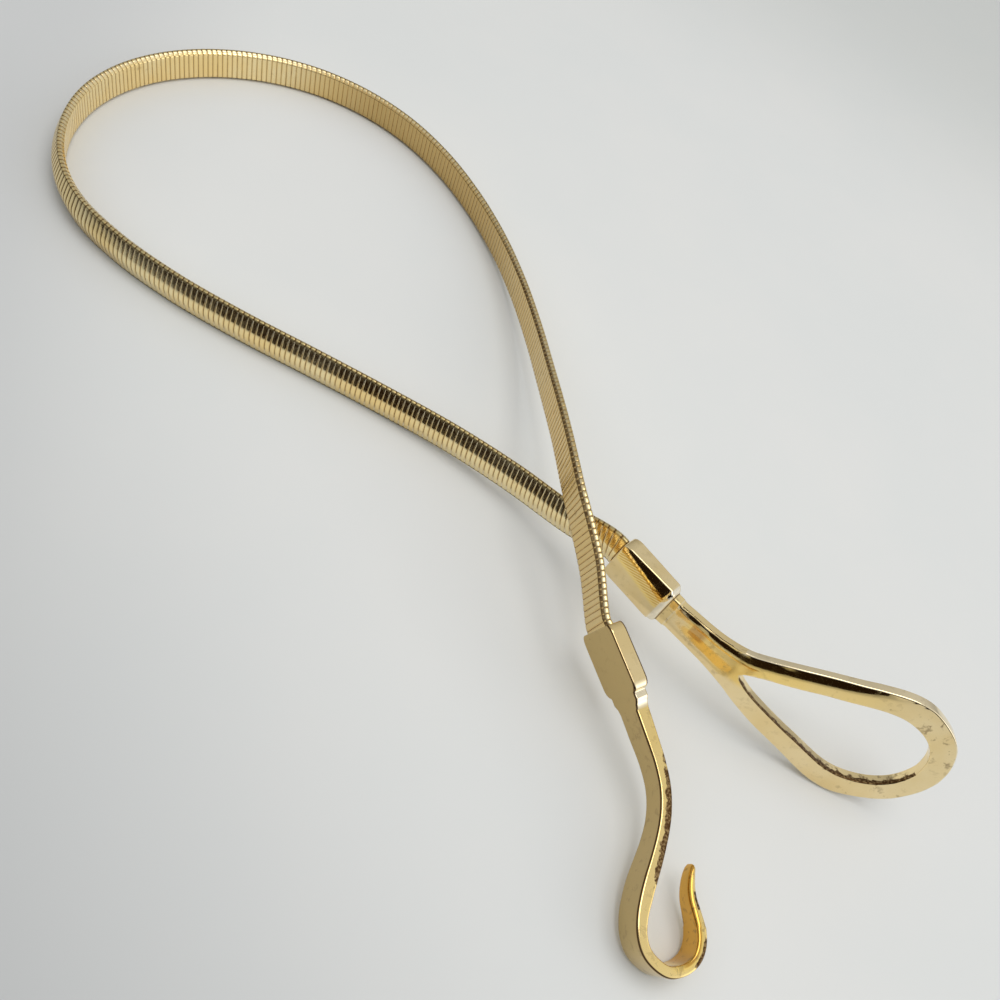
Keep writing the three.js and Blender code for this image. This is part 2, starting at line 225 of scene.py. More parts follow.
# ---------------------------------------------------------------- mesh helpers
def make_object(name, verts_mm, faces, attrs, node, material, weld=False, flat_bias=False):
    data = bpy.data.meshes.new(name)
    v = (np.asarray(verts_mm, float) - CENTRE) * MM
    data.from_pydata(v.tolist(), [], faces)
    data.update()
    for key, values in attrs.items():
        layer = data.attributes.new(key, "FLOAT", "POINT")
        layer.data.foreach_set("value", np.asarray(values, np.float32))
    bm = bmesh.new()
    bm.from_mesh(data)
    if weld:
        bmesh.ops.remove_doubles(bm, verts=bm.verts, dist=2e-6)
    bmesh.ops.recalc_face_normals(bm, faces=bm.faces)
    bm.to_mesh(data)
    bm.free()
    data.polygons.foreach_set("use_smooth", [True] * len(data.polygons))
    data.materials.append(material)
    obj = bpy.data.objects.new(name, data)
    bpy.context.scene.collection.objects.link(obj)
    if flat_bias:
        wn = obj.modifiers.new("face_normals", "WEIGHTED_NORMAL")
        wn.mode = "FACE_AREA"
        wn.weight = 60
        wn.keep_sharp = True
    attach(obj, "root")
    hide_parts(node)
    return obj


# ---------------------------------------------------------------- materials
def mat_new(name):
    m = bpy.data.materials.new(name)
    m.use_nodes = True
    nt = m.node_tree
    nt.nodes.clear()
    out = nt.nodes.new("ShaderNodeOutputMaterial")
    bsdf = nt.nodes.new("ShaderNodeBsdfPrincipled")
    nt.links.new(bsdf.outputs[0], out.inputs[0])
    return m, nt, bsdf


class Net:
    def __init__(self, nt):
        self.nt = nt

    def node(self, kind, **props):
        n = self.nt.nodes.new(kind)
        for k, v in props.items():
            setattr(n, k, v)
        return n

    def link(self, a, b):
        self.nt.links.new(a, b)

    def put(self, value, socket):
        if isinstance(value, bpy.types.NodeSocket):
            self.link(value, socket)
        else:
            socket.default_value = value

    def math(self, op, a, b=0.0, clamp=False):
        n = self.node("ShaderNodeMath", operation=op, use_clamp=clamp)
        self.put(a, n.inputs[0])
        self.put(b, n.inputs[1])
        return n.outputs[0]

    def mix(self, fac, a, b, blend="MIX"):
        n = self.node("ShaderNodeMix", data_type="RGBA", blend_type=blend)
        n.clamp_factor = True
        self.put(fac, n.inputs[0])
        for v, s in ((a, n.inputs[6]), (b, n.inputs[7])):
            self.put(v if isinstance(v, bpy.types.NodeSocket) else (*v, 1.0), s)
        return n.outputs[2]

    def noise(self, vec, scale, detail=3.0, rough=0.5, distortion=0.0):
        n = self.node("ShaderNodeTexNoise")
        self.link(vec, n.inputs["Vector"])
        n.inputs["Scale"].default_value = scale
        n.inputs["Detail"].default_value = detail
        n.inputs["Roughness"].default_value = rough
        n.inputs["Distortion"].default_value = distortion
        return n.outputs["Fac"]

    def span(self, value, lo, hi, to_lo=0.0, to_hi=1.0, smoothed=True):
        n = self.node("ShaderNodeMapRange", interpolation_type="SMOOTHSTEP" if smoothed else "LINEAR")
        self.put(value, n.inputs[0])
        n.inputs[1].default_value = lo
        n.inputs[2].default_value = hi
        n.inputs[3].default_value = to_lo
        n.inputs[4].default_value = to_hi
        return n.outputs[0]

    def attribute(self, name):
        n = self.node("ShaderNodeAttribute", attribute_type="GEOMETRY")
        n.attribute_name = name
        return n.outputs["Fac"]

    def stretched(self, vec, scale, rotation=(0, 0, 0)):
        n = self.node("ShaderNodeMapping")
        self.link(vec, n.inputs["Vector"])
        n.inputs["Scale"].default_value = scale
        n.inputs["Rotation"].default_value = rotation
        return n.outputs[0]


COIL = (1.0, 0.775, 0.370)
COIL_PALE = (1.0, 0.850, 0.500)
COIL_FLANK_SHADE = (0.66, 0.430, 0.160)
GOLD = (0.86, 0.660, 0.325)
GOLD_PALE = (0.92, 0.745, 0.43)
GOLD_WARM = (0.95, 0.62, 0.17)
TARNISH_AND_SHADE = (0.11, 0.052, 0.018)


def coil_material():
    m, nt, bsdf = mat_new("coil_gold")
    N = Net(nt)
    pos = N.node("ShaderNodeTexCoord").outputs["Object"]
    groove = N.attribute("groove")
    tone = N.attribute("tone")
    kind = N.attribute("bead")
    cloud = N.noise(pos, 45.0, 4.0, 0.55)
    fine = N.noise(pos, 900.0, 3.0, 0.6)
    crest = N.attribute("crest")
    colour = N.mix(N.span(cloud, 0.35, 0.68), COIL, COIL_PALE)
    colour = N.mix(N.math("MULTIPLY", tone, 0.10), colour, GOLD_WARM)
    colour = N.mix(N.math("MULTIPLY", kind, 0.60), colour, (0.90, 0.80, 0.56))
    colour = N.mix(N.math("MULTIPLY", N.attribute("shade"), 0.95), colour, (0.55, 0.385, 0.155))
    crown = N.attribute("crown")
    lip = N.attribute("lip")
    # painted shade: the top edge of the winding is darkened to olive-brown, with dark ticks on the flanks of its turns
    colour = N.mix(N.math("MULTIPLY", crown, 0.85), colour, (0.47, 0.37, 0.17))
    # painted shade: the flanks of each turn are painted a browner tone than its crown
    colour = N.mix(N.span(crest, 0.30, 0.80, 0.60, 0.0), colour, COIL_FLANK_SHADE)
    tick = N.math("MULTIPLY", N.span(crest, 0.20, 0.75, 0.85, 0.0), crown, clamp=True)
    colour = N.mix(tick, colour, (0.14, 0.09, 0.035))
    # dirt and tarnish lie in the grooves between the turns
    dirt = N.math("MULTIPLY", N.span(groove, 0.42, 1.0), N.span(fine, 0.25, 0.75, 0.62, 1.0), clamp=True)
    # painted highlight: thin pale lines at the groove edges of the upper domed face, kept free of dirt
    rib = N.math("MULTIPLY", N.span(groove, 0.04, 0.40), lip, clamp=True)
    colour = N.mix(rib, colour, (1.0, 0.88, 0.62))
    dirt = N.math("MULTIPLY", dirt, N.math("SUBTRACT", 1.0, lip), clamp=True)
    colour = N.mix(dirt, colour, TARNISH_AND_SHADE)
    spots = N.math("MULTIPLY", N.span(N.noise(pos, 320.0, 2.0, 0.5), 0.66, 0.78), 0.35)
    colour = N.mix(spots, colour, (0.38, 0.25, 0.12))
    N.link(colour, bsdf.inputs["Base Color"])
    bsdf.inputs["Metallic"].default_value = 1.0
    rough = N.math("ADD", N.span(cloud, 0.3, 0.7, 0.12, 0.19), N.math("MULTIPLY", dirt, 0.30))
    rough = N.math("ADD", rough, N.span(fine, 0.3, 0.7, -0.02, 0.05))
    rough = N.math("ADD", rough, N.math("MULTIPLY", N.math("MAXIMUM", crown, kind), 0.16))
    N.link(rough, bsdf.inputs["Roughness"])
    scratch = N.noise(N.stretched(pos, (900, 900, 5200), (0.3, 0.2, 0.5)), 1.0, 3.0, 0.6)
    bump = N.node("ShaderNodeBump")
    bump.inputs["Strength"].default_value = 0.18
    bump.inputs["Distance"].default_value = 0.00004
    N.link(N.math("ADD", N.math("MULTIPLY", fine, 0.6), N.math("MULTIPLY", scratch, 0.4)), bump.inputs["Height"])
    N.link(bump.outputs[0], bsdf.inputs["Normal"])
    return m


def cast_material():
    m, nt, bsdf = mat_new("cast_gold")
    N = Net(nt)
    pos = N.node("ShaderNodeTexCoord").outputs["Object"]
    amber_tint_and_reflection = N.attribute("amber_tint_and_reflection")
    painted_highlight = N.attribute("painted_highlight")
    dark_blot_reflection = N.attribute("dark_blot_reflection")
    cloud = N.noise(pos, 60.0, 4.0, 0.55)
    blot = N.noise(pos, 420.0, 5.0, 0.62, 0.4)
    fine = N.noise(pos, 1400.0, 3.0, 0.6)
    colour = N.mix(N.span(cloud, 0.32, 0.70), GOLD, GOLD_PALE)
    # painted reflection of the gold band: amber on the loop's shank and fork and on the hook's inner side, over a faint
    # amber tint
    colour = N.mix(N.span(amber_tint_and_reflection, 0.0, 0.8, smoothed=False), colour, (1.0, 0.72, 0.22))
    colour = N.mix(N.span(amber_tint_and_reflection, 0.80, 1.0), colour, (0.68, 0.385, 0.08))
    # painted reflection of the band's turns: slanted pale streaks across the loop ferrule's front
    slant = N.node("ShaderNodeVectorMath", operation="DOT_PRODUCT")
    N.link(pos, slant.inputs[0])
    slant.inputs[1].default_value = tuple((LOOP_ALONG - 2.1 * LOOP_RISE) * 2 * math.pi / 0.00190)
    rib_reflection = N.math("MULTIPLY", N.span(N.math("SINE", slant.outputs["Value"]), -0.2, 0.9), N.attribute("ribs"), clamp=True)
    colour = N.mix(N.math("MULTIPLY", rib_reflection, 0.85), colour, (1.0, 0.83, 0.42))
    # painted highlight: bright cream on rims, collars and edges
    colour = N.mix(N.math("MULTIPLY", painted_highlight, 1.1, clamp=True), colour, (1.0, 0.95, 0.82))
    # painted shade: the hook's broad back is darkened to olive, for its dimmer reflection
    colour = N.mix(N.attribute("shade"), colour, (0.53, 0.390, 0.172))
    # painted dark reflection: dark brown blots on edges that face dark surroundings
    dark_blot_fac = N.math("MULTIPLY", N.span(blot, 0.54, 0.66), dark_blot_reflection, clamp=True)
    colour = N.mix(dark_blot_fac, colour, (0.20, 0.13, 0.065))
    # painted shade: dark lines along the bevels between faces, and a shadow ring between the loop's end rim and collar
    colour = N.mix(N.span(N.attribute("line"), 0.25, 0.85, 0.0, 0.92), colour, TARNISH_AND_SHADE)
    # painted dark reflection: mottled dark patches
    dark_patch_fac = N.math("ADD", N.attribute("dark_patch_reflection"), N.math("MULTIPLY", N.math("SUBTRACT", blot, 0.5), 1.1))
    dark_patch_fac = N.span(dark_patch_fac, 0.60, 0.74)
    colour = N.mix(dark_patch_fac, colour, N.mix(N.span(fine, 0.45, 0.62), (0.09, 0.045, 0.017), (0.30, 0.20, 0.09)))
    # small casting pits with dark floors
    vor = N.node("ShaderNodeTexVoronoi", feature="F1", distance="EUCLIDEAN")
    N.link(pos, vor.inputs["Vector"])
    vor.inputs["Scale"].default_value = 260.0
    vor.inputs["Randomness"].default_value = 1.0
    sel = N.span(N.noise(pos, 210.0, 1.0, 0.5), 0.60, 0.66)
    pit = N.math("MULTIPLY", N.span(vor.outputs["Distance"], 0.05, 0.14, 1.0, 0.0), sel, clamp=True)
    colour = N.mix(N.math("MULTIPLY", pit, 0.8), colour, TARNISH_AND_SHADE)
    N.link(colour, bsdf.inputs["Base Color"])
    bsdf.inputs["Metallic"].default_value = 1.0
    rough = N.math("ADD", N.span(cloud, 0.3, 0.7, 0.055, 0.11), N.math("MULTIPLY", N.math("MAXIMUM", dark_blot_fac, dark_patch_fac), 0.25))
    rough = N.math("ADD", rough, N.math("MULTIPLY", N.span(N.noise(pos, 420.0, 3.0, 0.6), 0.45, 0.7), 0.06))
    N.link(rough, bsdf.inputs["Roughness"])
    hair = N.noise(N.stretched(pos, (220, 2600, 2600), (0.0, 0.25, -0.5)), 1.0, 4.0, 0.65)
    hair2 = N.noise(N.stretched(pos, (2400, 260, 2400), (0.3, 0.0, 0.35)), 1.0, 3.0, 0.6)
    height = N.math("ADD", N.math("MULTIPLY", hair, 0.5), N.math("MULTIPLY", hair2, 0.35))
    height = N.math("ADD", height, N.math("MULTIPLY", fine, 0.35))
    height = N.math("SUBTRACT", height, N.math("MULTIPLY", pit, 2.2))
    bump = N.node("ShaderNodeBump")
    bump.inputs["Strength"].default_value = 0.11
    bump.inputs["Distance"].default_value = 0.00004
    N.link(height, bump.inputs["Height"])
    wave = N.node("ShaderNodeBump")
    wave.inputs["Strength"].default_value = 0.05
    wave.inputs["Distance"].default_value = 0.0002
    N.link(N.noise(pos, 120.0, 2.0, 0.5), wave.inputs["Height"])
    N.link(wave.outputs[0], bump.inputs["Normal"])
    N.link(bump.outputs[0], bsdf.inputs["Normal"])
    return m


def floor_material():
    m, nt, bsdf = mat_new("pale_table")
    N = Net(nt)
    pos = N.node("ShaderNodeTexCoord").outputs["Object"]
    cloud = N.noise(pos, 9.0, 4.0, 0.6)
    colour = N.mix(N.span(cloud, 0.3, 0.7), (0.775, 0.79, 0.785), (0.80, 0.805, 0.795))
    sep = N.node("ShaderNodeSeparateXYZ")
    N.link(pos, sep.inputs[0])
    # painted shade: a little greyer towards the far left, darker towards the near side and in the distance
    across = N.math("ADD", N.math("MULTIPLY", sep.outputs[0], 0.9), N.math("MULTIPLY", sep.outputs[1], 0.35))
    colour = N.mix(N.span(across, -0.17, -0.085, 1.0, 0.0), colour, (0.66, 0.67, 0.675))
    below = N.math("ADD", N.math("MULTIPLY", sep.outputs[0], 0.45), N.math("MULTIPLY", sep.outputs[1], 0.9))
    below = N.math("POWER", N.span(below, -0.175, -0.05, 1.0, 0.0, smoothed=False), 1.35)
    colour = N.mix(below, colour, (0.53, 0.54, 0.545))
    colour = N.mix(N.span(sep.outputs[1], 0.26, 0.50, 0.0, 0.5), colour, (0.58, 0.60, 0.58))
    N.link(colour, bsdf.inputs["Base Color"])
    bsdf.inputs["Roughness"].default_value = 0.55
    bsdf.inputs["Specular IOR Level"].default_value = 0.3
    return m


# ---------------------------------------------------------------- the wound band
def band_line():
    mouth_l, mouth_h = np.array(LOOP_MOUTH), np.array(HOOK_MOUTH)
    stops = [mouth_l + LOOP_ALONG * d for d in (BAND_ENTRY, 0.6, -4)]
    leans = [LOOP_LEAN] * 3
    stops += [np.array(r[:3]) for r in BAND_ROUTE]
    leans += [r[3] for r in BAND_ROUTE]
    stops += [mouth_h + HOOK_ALONG * d for d in (-1.4, 0.9, BAND_ENTRY)]
    leans += [-HOOK_LEAN] * 3
    pts, par = spline(stops, 60)
    s = arc(pts)
    tan = np.gradient(pts, s, axis=0)
    tan[:20] = -LOOP_ALONG
    tan[-20:] = HOOK_ALONG
    tan /= np.linalg.norm(tan, axis=1, keepdims=True)
    lean = np.interp(par, np.arange(len(leans)), leans)
    return s, pts, tan, lean


def winding_loop():
    half = WINDING
    loop = list(half)
    lower = [(n, -b, dn, -db, d, k) for n, b, dn, db, d, k in reversed(half[1:-1])]
    loop = loop + lower
    return [(n, -b, dn, -db, d, k) for n, b, dn, db, d, k in loop]


def build_band(material):
    s_line, p_line, t_line, lean_line = band_line()
    total = s_line[-1]
    loop = winding_loop()
    J = len(loop)
    prof = np.array(loop, float)
    # the winding's lead: where along the perimeter each point sits, by length
    closed = np.vstack([prof[:, :2], prof[:1, :2]])
    per = arc(closed)
    share = per[:-1] / per[-1]
    # arc length as a function of the turn number
    s_dense = np.linspace(0, total, 4000)
    width = np.interp(s_dense, [r[0] for r in TURN_WIDTH], [r[1] for r in TURN_WIDTH])
    turn_no = np.concatenate([[0], np.cumsum(np.diff(s_dense) * 2 / (width[1:] + width[:-1]))])
    turns = turn_no[-1]
    I = int(math.ceil((turns + 1) * TURN_STEPS))
    i = np.arange(I + 1)
    rng = np.random.default_rng(11)
    jitter = rng.normal(0, 1, int(turns) + 4)
    # phase of each step in its turn, unevenly spaced so that the grooves stay narrow
    turn = i // TURN_STEPS
    step = i % TURN_STEPS
    phase = np.array(GROOVE_AT)[step]
    coord = turn + phase + 0.5
    wob = jitter[np.clip(turn, 0, len(jitter) - 1)] * 0.012
    count = np.clip(coord[:, None] + share[None, :] - 1.0 + wob[:, None], 0.0, turns)
    along = np.interp(count.ravel(), turn_no, s_dense).reshape(count.shape)
    kind = prof[:, 5].astype(int)
    g = np.stack([np.array(GROOVE[k])[step] for k in kind], 1)
    depth = prof[:, 4][None, :] * g * (1 + 0.10 * jitter[np.clip(turn, 0, len(jitter) - 1)][:, None])
    n = prof[:, 0][None, :] + prof[:, 2][None, :] * depth
    b = prof[:, 1][None, :] + prof[:, 3][None, :] * depth
    p = at(along.ravel(), s_line, p_line)
    t = at(along.ravel(), s_line, t_line)
    lean = at(along.ravel(), s_line, lean_line)
    side, rise = lean_frame(t, -lean)
    verts = p - side * n.ravel()[:, None] + rise * b.ravel()[:, None]
    idx = lambda a, j: a * J + j
    faces = []
    for a in range(I):
        for j in range(J - 1):
            faces.append((idx(a, j), idx(a + 1, j), idx(a + 1, j + 1), idx(a, j + 1)))
        if a + 1 + TURN_STEPS <= I:
            faces.append((idx(a, J - 1), idx(a + 1, J - 1), idx(a + 1 + TURN_STEPS, 0), idx(a + TURN_STEPS, 0)))
    verts = list(verts)
    # the channel between the flat face and the beads holds dirt, but for a rib at each turn
    dirty = smooth((along[:, kind == 3] - 400) / 90)
    g[:, kind == 3] = g[:, kind == 3] * (1 - dirty) + (1.0 - 0.80 * g[:, kind == 3]) * dirty
    flank = (kind == 1) & (prof[:, 0] > 1.0)
    g[:, flank] = np.maximum(g[:, flank], 0.72 * smooth((along[:, flank] - 430) / 60))
    flank = (kind == 0) & (np.abs(prof[:, 1]) > 4.2)
    g[:, flank] = np.maximum(g[:, flank], 0.55 * smooth((along[:, flank] - 430) / 60))
    crest = np.broadcast_to((1 - (2 * np.abs(phase)) ** 2)[:, None], g.shape)
    start = [idx(0, j) for j in range(J)] + [idx(k, 0) for k in range(TURN_STEPS, 0, -1)]
    end = [idx(I, j) for j in range(J)] + [idx(k, J - 1) for k in range(I - 1, I - TURN_STEPS - 1, -1)]
    attr_groove = list(g.ravel())
    attr_crest = list(crest.ravel())
    shade = smooth((along - 322) / 55) * (1 - 0.36 * smooth((along - 430) / 60))
    shade = np.where((kind[None, :] == 0) | (kind[None, :] == 3), shade, 0.35 * shade)
    attr_shade = list(shade.ravel())
    # the top edge of the winding, darkened as painted shade, and the painted highlight lines between the upper cells of
    # the domed face
    over = np.where((kind == 1) & (prof[:, 0] < 0.5), 1.0, np.where((kind == 1) & (prof[:, 0] < 0.9), 0.5, 0.0))
    crown = over[None, :] * (0.35 + 0.65 * (1 - smooth((along - 420) / 90)))
    # round the bend the domed face keeps dark grooves
    bend = smooth((along - 165) / 50) * (1 - smooth((along - 320) / 40))
    cut = np.minimum(1.0, 2.2 * g)
    crown = np.where((kind == 2)[None, :], bend * (0.22 + 0.78 * cut), crown * (1 - 0.50 * bend * (1 - cut)))
    attr_crown = list(crown.ravel())
    lip = np.where(kind == 2, 1 - smooth((-prof[:, 0] - 1.02) / 0.55), 0.0)
    attr_lip = list((lip[None, :] * (1 - bend)).ravel())
    attr_bead = list(np.broadcast_to(((kind == 1) & (prof[:, 0] > 0.5)).astype(float), g.shape).ravel())
    tone_turn = rng.uniform(0, 1, int(turns) + 4)
    attr_tone = list(np.broadcast_to(tone_turn[np.clip(turn, 0, len(tone_turn) - 1)][:, None], g.shape).ravel())
    for loop_ids in (start, end):
        c = np.mean([verts[q] for q in loop_ids], axis=0)
        verts.append(c)
        attr_groove.append(0.0)
        attr_bead.append(0.0)
        attr_crest.append(0.5)
        attr_shade.append(0.0)
        attr_crown.append(0.0)
        attr_lip.append(0.0)
        attr_tone.append(0.5)
        m = len(verts) - 1
        for q in range(len(loop_ids)):
            faces.append((loop_ids[q], loop_ids[(q + 1) % len(loop_ids)], m))
    return make_object("stretch_band_coil", verts, faces,
                       {"groove": attr_groove, "bead": attr_bead, "tone": attr_tone, "crest": attr_crest,
                        "shade": attr_shade, "crown": attr_crown, "lip": attr_lip},
                       "stretch_band", material)


# ---------------------------------------------------------------- castings
COLS = 20                    # columns over each broad face
ARC = (30, 60, 90)


def ring_table(y0, y1, r, hz):
    """Section ring as (across, inset from the outline, side): side +1 top, -1 bottom, with the broad
    faces as shares between them."""
    rows = []
    for k in range(COLS + 1):
        rows.append((y0, r, "f", k / COLS))
    for a in ARC:
        rows.append((y0 + r * (1 - math.cos(math.radians(a))), r * (1 - math.sin(math.radians(a))), "t", 1))
    inset = min(0.32, 0.2 * (y1 - y0 - 2 * r))
    rows.append((y0 + r + inset, 0.0, "t", 1))
    rows.append((y1 - r - inset, 0.0, "t", 1))
    for a in reversed(ARC):
        rows.append((y1 - r * (1 - math.cos(math.radians(a))), r * (1 - math.sin(math.radians(a))), "t", 1))
    for k in range(COLS + 1):
        rows.append((y1, r, "f", 1 - k / COLS))
    for a in ARC:
        rows.append((y1 - r * (1 - math.cos(math.radians(a))), r * (1 - math.sin(math.radians(a))), "b", 0))
    for a in reversed(ARC):
        rows.append((y0 + r * (1 - math.cos(math.radians(a))), r * (1 - math.sin(math.radians(a))), "b", 0))
    return rows


def ring_points(s, hz, y0, y1, r, normal=(0.0, 1.0), crown=(0.0, 3.0)):
    """Points (along, across, up) of one section."""
    out = []
    ns, nh = normal
    deep, wide, power = crown if len(crown) == 3 else (*crown, 2.0)
    for n, inset, side, k in ring_table(y0, y1, r, hz):
        if side == "f":
            lo = np.array([s - ns * inset, -(hz - nh * inset)])
            hi = np.array([s - ns * inset, hz - nh * inset])
            q = lo + (hi - lo) * k
        else:
            sg = 1 if side == "t" else -1
            q = np.array([s - ns * inset, sg * (hz - nh * inset)])
        # the front rolls back towards its upper and lower edges
        if n < (y0 + y1) / 2 and deep:
            roll = min(1.0, max(0.0, (abs(q[1]) - (hz - r - wide)) / wide))
            n = n + (deep * roll ** power if power == 2.0 or q[1] > 0 else 0.4 * deep * roll ** 2)
        out.append((q[0], n, q[1]))
    return np.array(out)


RING = 2 * (COLS + 1) + 4 * len(ARC) + 2


def loft(rings, base=0):
    faces = []
    for i in range(len(rings) - 1):
        for j in range(RING):
            k = (j + 1) % RING
            faces.append((base + i * RING + j, base + i * RING + k, base + (i + 1) * RING + k, base + (i + 1) * RING + j))
    return faces


def build_hook(material):
    rings, amber_tint_and_reflection, painted_highlight, dark_blot_reflection, shade, line_, edge = [], [], [], [], [], [], []
    # painted shade: dark lines along the near and far top corners
    near_line, far_line = np.zeros(RING), np.zeros(RING)
    near_line[COLS:COLS + 4] = (0.55, 1.0, 1.0, 0.2)
    far_line[COLS + 6:COLS + 10] = (1.0, 1.0, 1.0, 0.5)
    # painted shade: the broad back side is darkened to olive
    back_side = np.zeros(RING)
    back_side[:COLS + 1] = 1.0
    back_side[[COLS + 1, RING - 1]] = 0.6

    def add(pts3, w=0.0, e=0.0, d=0.15, f=1.0, c=(1.0, 0.0), m=0.0):
        edge.append(m if isinstance(m, np.ndarray) else np.full(RING, m))
        line_.append(near_line * c[0] + far_line * c[1])
        shade.append(back_side * f)
        rings.append(pts3)
        amber_tint_and_reflection.append(w if isinstance(w, np.ndarray) else np.full(RING, w))
        painted_highlight.append(e if isinstance(e, np.ndarray) else np.full(RING, e))
        dark_blot_reflection.append(d if isinstance(d, np.ndarray) else np.full(RING, d))

    def place(local, side=HOOK_SIDE, rise=HOOK_RISE):
        return (np.array(HOOK_MOUTH) + local[:, :1] * HOOK_ALONG + local[:, 1:2] * side
                + local[:, 2:3] * rise)

    # painted highlight: bright cream on the ferrule's end and on the collar
    for x, y0, y1, hz, r in FERRULE_ROWS:
        y0, y1 = deepen(y0, HOOK_THICK), deepen(y1, HOOK_THICK)
        add(place(ring_points(x, hz, y0, y1, r), BOX_SIDE, BOX_RISE), 0.0, 0.3 if x > 16.5 else 0.0, 0.10,
            c=(1.0, 1.0 if x < 17.8 else 0.0))
    # neck, collar with a chamfered end, then the shank
    for x, y0, y1, hz, r in [(18.45, -2.40, 1.95, 5.55, 0.50), (18.8, -2.40, 1.84, 5.42, 0.45),
                             (19.4, -2.42, 1.80, 5.40, 0.45), (20.2, -2.44, 1.80, 5.42, 0.45),
                             (20.45, -2.46, 1.84, 5.38, 0.45), (21.2, -2.48, 1.76, 4.95, 0.45),
                             (21.7, -2.50, 1.66, 4.55, 0.45), (22.5, -2.55, 1.60, 4.34, 0.45)]:
        add(place(ring_points(x, hz, y0, y1, r), BOX_SIDE, BOX_RISE), 0.0, 0.45, 0.10)
    tab = np.array(HOOK_STRIP, float)
    line, par = spline(np.c_[tab[:, 0], tab[:, 1] - 2.35, np.zeros(len(tab))], 30)
    tan = np.gradient(line, arc(line), axis=0)
    keep = np.where(line[:, 0] > 23.2)[0]
    last = np.where(np.arange(len(line)) > keep[0])[0]
    ids = np.unique(np.concatenate([keep[:1], np.arange(keep[0], len(line), 5), [len(line) - 1]]))
    for q in ids:
        p, d = line[q], unit(tan[q])
        nrm = np.array([-d[1], d[0]])
        k = par[q]
        t = np.interp(k, np.arange(len(tab)), tab[:, 2]) / 2
        h = np.interp(k, np.arange(len(tab)), tab[:, 3])
        r = min(0.48, t * 0.55)
        if k > 20:
            r = t * (0.55 + 0.35 * min(1, (k - 20) / 4))
        sec = ring_points(0.0, h, -t, t, r)
        local = np.empty_like(sec)
        local[:, 0] = p[0] + nrm[0] * sec[:, 1]
        local[:, 1] = p[1] + nrm[1] * sec[:, 1]
        local[:, 2] = sec[:, 2]
        inner = smooth((k - 13.5) / 3.5)
        side = (sec[:, 1] > 0).astype(float)
        # painted dark reflection: blots over the strip, and mottled dark patches on the far corner of the neck and of
        # the rising end
        dl = np.full(RING, float(0.25 + 0.25 * inner))
        mt = np.zeros(RING)
        mt[COLS + 5:COLS + 12] = 1.12 * math.exp(-((k - 6.2) / 3.6) ** 4)
        mt[COLS + 4] = 0.30 * mt[COLS + 5]
        mt[COLS - 1:COLS + 5] = np.maximum(mt[COLS - 1:COLS + 5], max(math.exp(-((k - 18.4) / 1.5) ** 4), 0.9 * math.exp(-((k - 22.0) / 1.0) ** 4)))
        mt[COLS + 2:COLS + 7] = np.maximum(mt[COLS + 2:COLS + 7], 0.55 * math.exp(-((k - 15.0) / 1.2) ** 2))
        # painted reflection: amber on the inner side and the top face
        wm = 0.12 + 0.80 * side * inner + 0.08 * inner
        wm[COLS + 3:COLS + 8] = np.maximum(wm[COLS + 3:COLS + 8], 0.42)
        add(place(local), wm, 0.0, dl,
            1.0 - 0.70 * smooth((k - 11.5) / 3.5), (1.0 - 0.9 * smooth((k - 14.0) / 3.0), 0.0), mt)
    verts = list(np.vstack(rings))
    faces = loft(rings)
    w, e, d, f, ln, mo = (list(np.concatenate(v)) for v in (amber_tint_and_reflection, painted_highlight, dark_blot_reflection, shade, line_, edge))
    # socket floor and rounded tip
    for i, push in ((0, 0.0), (len(rings) - 1, 0.28)):
        ring = rings[i]
        c = ring.mean(axis=0)
        if push:
            c = c + unit(c - rings[i - 1].mean(axis=0)) * push
        verts.append(c)
        w.append(0.3); e.append(0.0); d.append(0.3); f.append(0.0); ln.append(0.0); mo.append(0.0)
        m = len(verts) - 1
        for j in range(RING):
            faces.append((i * RING + j, i * RING + (j + 1) % RING, m))
    return make_object("hook_clasp_cast", verts, faces, {"amber_tint_and_reflection": w, "painted_highlight": e, "dark_blot_reflection": d, "shade": f, "line": ln,
                                                        "dark_patch_reflection": mo, "ribs": np.zeros(len(verts))},
                       "hook_clasp", material, weld=False, flat_bias=True)


def loop_frames():
    mouth = np.array(LOOP_MOUTH)
    rows = [(mouth + LOOP_ALONG * d, LOOP_LEAN) for d in (0.0, 9.0, 18.0)]
    rows += [(np.array(r[:3]), r[3]) for r in LOOP_LINE]
    pts, par = spline([r[0] for r in rows], 60)
    s = arc(pts)
    tan = np.gradient(pts, s, axis=0)
    lean = np.interp(par, np.arange(len(rows)), [r[1] for r in rows])
    flat = s < 18
    tan[flat] = LOOP_ALONG
    side, rise = lean_frame(tan, lean)

    def place(local):
        """(along the middle line, across, up) to a point."""
        x = local[:, 0]
        over = np.maximum(x - s[-1], 0)[:, None] * unit(tan[-1])
        return (at(x, s, pts) + over + np.minimum(x, 0)[:, None] * LOOP_ALONG
                + at(x, s, side) * local[:, 1:2] + at(x, s, rise) * local[:, 2:3])
    return place


def outline(table, ends):
    rows = [ends[0]] if ends[0] else []
    rows += list(table)
    rows += [ends[1]] if ends[1] else []
    pts, _ = spline(np.array(rows, float), 40)
    tan = np.gradient(pts, arc(pts), axis=0)
    tan /= np.linalg.norm(tan, axis=1, keepdims=True)
    nrm = np.c_[-tan[:, 1], tan[:, 0]]      # left of travel: outwards on the upper side
    return pts, nrm


